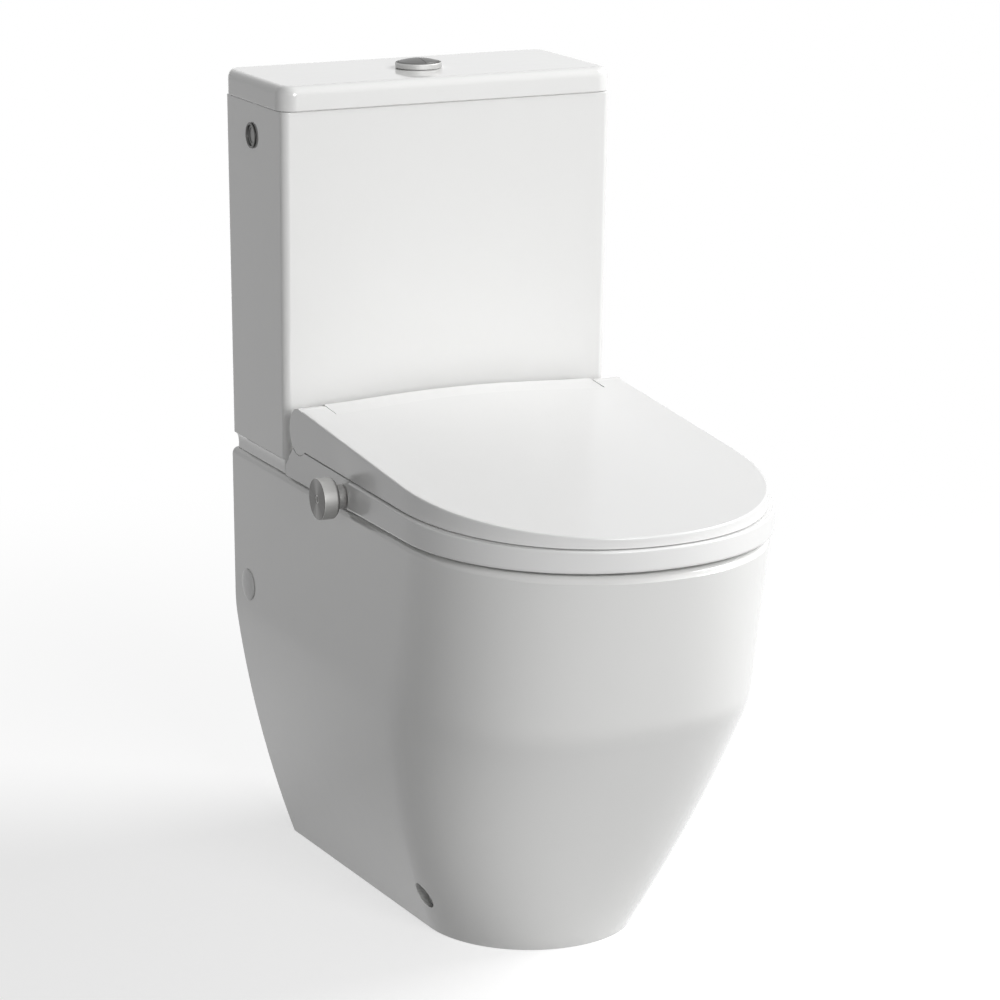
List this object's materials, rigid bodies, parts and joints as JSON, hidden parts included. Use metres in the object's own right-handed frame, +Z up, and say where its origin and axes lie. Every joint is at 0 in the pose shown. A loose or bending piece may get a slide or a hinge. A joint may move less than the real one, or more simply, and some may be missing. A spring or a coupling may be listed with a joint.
{
  "type": "shower toilet",
  "caption": "Close-coupled toilet with a washing seat: china pan and cistern, hinged ring and lid, side knob, wash wands, flush and fill valves.",
  "frame": {"origin": "on the floor at the middle of the object's footprint", "axes": "+Z up, the front towards -Y, the wall behind at +Y, +X to the right of someone who faces it"},
  "size_m": [0.41, 0.6429, 0.8311],
  "materials": {
    "pan_china": "glossy white glaze",
    "tank_china": "glossy white glaze",
    "cover_china": "glossy white glaze",
    "seat_plastic": "smooth white, softly glossy",
    "white_plastic": "moulded white",
    "grey_plastic": "moulded grey",
    "blue_plastic": "moulded blue grey",
    "satin_metal": "satin, finely brushed",
    "steel": "plain stainless",
    "bright_chrome": "polished",
    "yellow_brass": "plain",
    "black_rubber": "matt",
    "pale_rubber": "matt"
  },
  "bodies": {
    "toilet_body": {"pan": "pan_china", "pan_bowl": "pan_china", "pan_trap": "pan_china", "cistern_tank": "tank_china", "cistern_lid": "cover_china", "seat_housing": "seat_plastic", "flush_valve_base": "white_plastic", "flush_valve_tower": "white_plastic", "fill_valve_body": "white_plastic", "seat_nut_left": "white_plastic", "seat_nut_right": "white_plastic", "side_cap_left": "white_plastic", "side_cap_right": "white_plastic", "waste_connector": "white_plastic", "flush_valve_nut": "grey_plastic", "side_plug_nut": "grey_plastic", "mounting_plate": "grey_plastic", "nozzle_holder": "grey_plastic", "selector_valve": "grey_plastic", "button_bezel": "satin_metal", "hinge_pin_left": "steel", "hinge_pin_right": "steel", "seat_bolt_left": "steel", "seat_bolt_right": "steel", "floor_bracket_left": "steel", "floor_bracket_right": "steel", "floor_screw_left": "steel", "floor_screw_right": "steel", "side_plug": "bright_chrome", "supply_connector": "bright_chrome", "floor_screw_cap_left": "bright_chrome", "floor_screw_cap_right": "bright_chrome", "inlet_nut": "yellow_brass", "cistern_bolt_left": "yellow_brass", "cistern_bolt_right": "yellow_brass", "cistern_wing_nut_left": "yellow_brass", "cistern_wing_nut_right": "yellow_brass", "cistern_gasket": "black_rubber", "cistern_washer_left": "black_rubber", "cistern_washer_right": "black_rubber", "waste_seal": "black_rubber"},
    "seat_ring_body": {"seat_ring": "seat_plastic", "seat_buffer_back_left": "pale_rubber", "seat_buffer_front_left": "pale_rubber", "seat_buffer_back_right": "pale_rubber", "seat_buffer_front_right": "pale_rubber"},
    "lid_body": {"seat_lid": "seat_plastic", "lid_buffer_left": "pale_rubber", "lid_buffer_right": "pale_rubber"},
    "knob_body": {"control_knob": "satin_metal"},
    "full_button_body": {"full_flush_button": "satin_metal"},
    "half_button_body": {"half_flush_button": "satin_metal"},
    "flush_valve_body": {"flush_valve_tube": "blue_plastic", "flush_valve_seal": "black_rubber"},
    "float_body": {"fill_valve_float": "blue_plastic"},
    "lever_body": {"fill_valve_lever": "blue_plastic"},
    "rear_wand_body": {"rear_nozzle": "white_plastic"},
    "front_wand_body": {"front_nozzle": "white_plastic"}
  },
  "joints": [
    {"name": "ring_hinge", "type": "hinge", "parent": "toilet_body", "child": "seat_ring_body", "pos_m": [0, 0.13975, 0.481], "axis": [-1, 0, 0], "range_deg": [0, 94]},
    {"name": "lid_hinge", "type": "hinge", "parent": "seat_ring_body", "child": "lid_body", "pos_m": [0, 0.13975, 0.481], "axis": [1, 0, 0], "range_deg": [-94, 0]},
    {"name": "knob_turn", "type": "hinge", "parent": "toilet_body", "child": "knob_body", "pos_m": [-0.196, 0.02575, 0.441], "axis": [-1, 0, 0], "range_deg": [-80, 80]},
    {"name": "full_flush_press", "type": "slide", "parent": "toilet_body", "child": "full_button_body", "axis": [0, 0, -1], "range_m": [0, 0.006], "stiffness_N_per_m": 500, "springref_m": -0.004},
    {"name": "half_flush_press", "type": "slide", "parent": "toilet_body", "child": "half_button_body", "axis": [0, 0, -1], "range_m": [0, 0.006], "stiffness_N_per_m": 500, "springref_m": -0.004},
    {"name": "valve_lift", "type": "slide", "parent": "toilet_body", "child": "flush_valve_body", "axis": [0, 0, 1], "range_m": [0, 0.0152]},
    {"name": "float_rise", "type": "slide", "parent": "toilet_body", "child": "float_body", "axis": [0, 0, 1], "range_m": [0, 0.01]},
    {"name": "lever_hinge", "type": "hinge", "parent": "toilet_body", "child": "lever_body", "pos_m": [0.12, 0.24875, 0.782], "axis": [0, 1, 0], "range_deg": [0, 31.5]},
    {"name": "rear_wand_slide", "type": "slide", "parent": "toilet_body", "child": "rear_wand_body", "axis": [0, -0.866, -0.5], "range_m": [0, 0.05], "stiffness_N_per_m": 60, "springref_m": -0.02},
    {"name": "front_wand_slide", "type": "slide", "parent": "toilet_body", "child": "front_wand_body", "axis": [0, -0.866, -0.5], "range_m": [0, 0.05], "stiffness_N_per_m": 60, "springref_m": -0.02}
  ],
  "couplings": [
    {"joint": "valve_lift", "follows": "full_flush_press", "ratio": 2.5},
    {"joint": "lever_hinge", "follows": "float_rise", "rad_per_m": 54.5}
  ]
}
